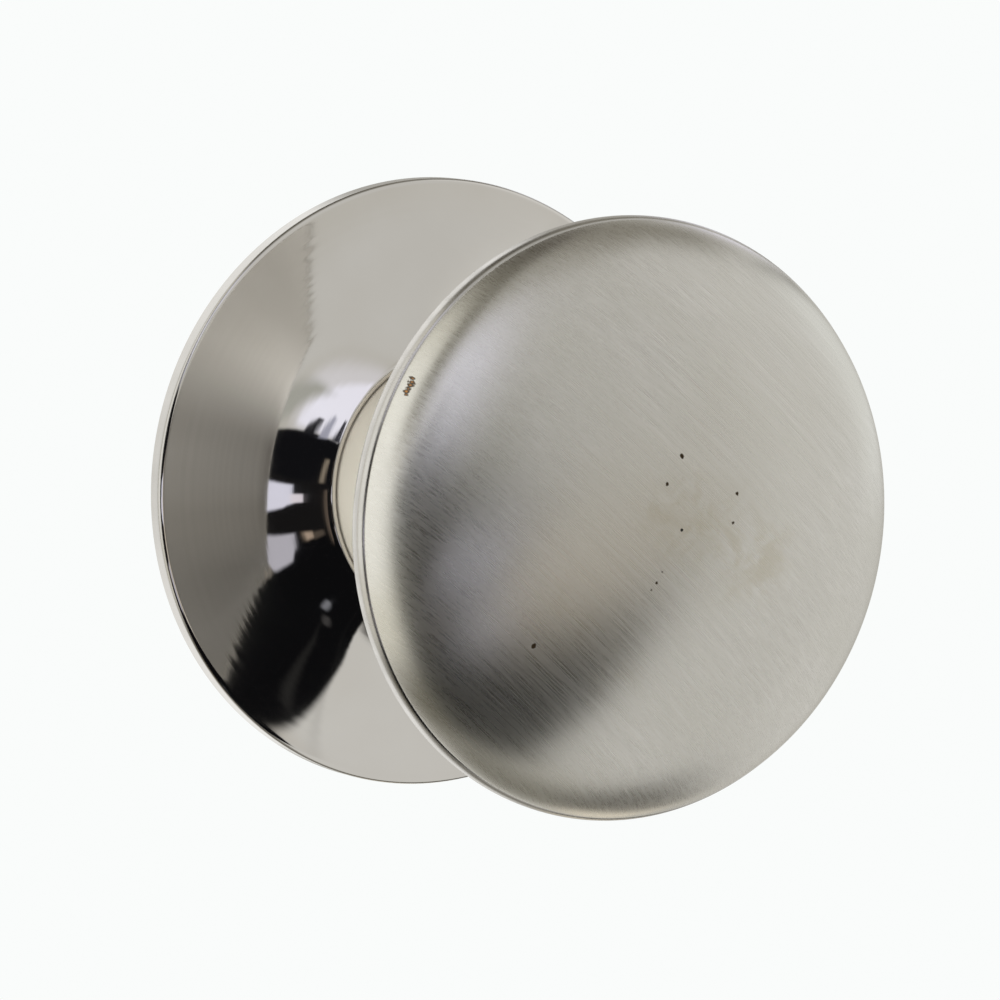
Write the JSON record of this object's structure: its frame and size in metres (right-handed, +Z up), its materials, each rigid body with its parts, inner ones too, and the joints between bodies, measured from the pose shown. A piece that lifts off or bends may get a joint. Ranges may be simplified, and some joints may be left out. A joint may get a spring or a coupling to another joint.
{
  "type": "door knob",
  "caption": "Sprung mortice door knob: a satin domed head on a polished concave rose turns a square spindle that works the door's latch.",
  "frame": {"origin": "centre of the rose's back, on the door face and on the axis the knob turns about", "axes": "-Y out of the door along the knob's axis, +Y into the door along the spindle, +Z up, +X to the right seen from in front"},
  "size_m": [0.065, 0.1069, 0.065],
  "materials": {
    "satin_nickel": "satin nickel plate with a straight grain",
    "polished_nickel": "polished nickel plate",
    "zinc_steel": "bright zinc-plated steel",
    "bright_steel": "machined steel",
    "brass": "machined brass",
    "nylon": "natural nylon",
    "black_oxide": "black oxide steel",
    "spring_steel": "oiled spring steel"
  },
  "bodies": {
    "base": {"base_plate": "zinc_steel", "clip_ring": "nylon", "wood_screw_1": "zinc_steel", "wood_screw_2": "zinc_steel", "wood_screw_3": "zinc_steel", "wood_screw_4": "zinc_steel", "spring_cup": "zinc_steel", "cup_rivet_1": "bright_steel", "cup_rivet_2": "bright_steel", "cup_rivet_3": "bright_steel", "stop_pin_1": "bright_steel", "stop_pin_2": "bright_steel", "bearing_bush": "brass", "thrust_washer": "nylon", "return_spring": "spring_steel"},
    "rose": {"rose_cover": "polished_nickel"},
    "knob": {"dome_shell": "satin_nickel", "back_shell": "polished_nickel", "stem": "bright_steel", "spring_driver": "zinc_steel", "end_washer": "bright_steel", "circlip": "black_oxide", "spindle": "zinc_steel", "grub_screw": "black_oxide", "core_disc": "zinc_steel", "core_nut": "zinc_steel"}
  },
  "joints": [
    {"name": "knob_turn", "type": "hinge", "parent": "base", "child": "knob", "pos_m": [0, 0, 0], "axis": [0, -1, 0], "range_deg": [-58, 58], "stiffness_Nm_per_rad": 0.35, "deforming": ["return_spring"]},
    {"name": "rose_slide", "type": "slide", "parent": "base", "child": "rose", "axis": [0, -1, 0], "range_m": [0, 0.009]}
  ]
}
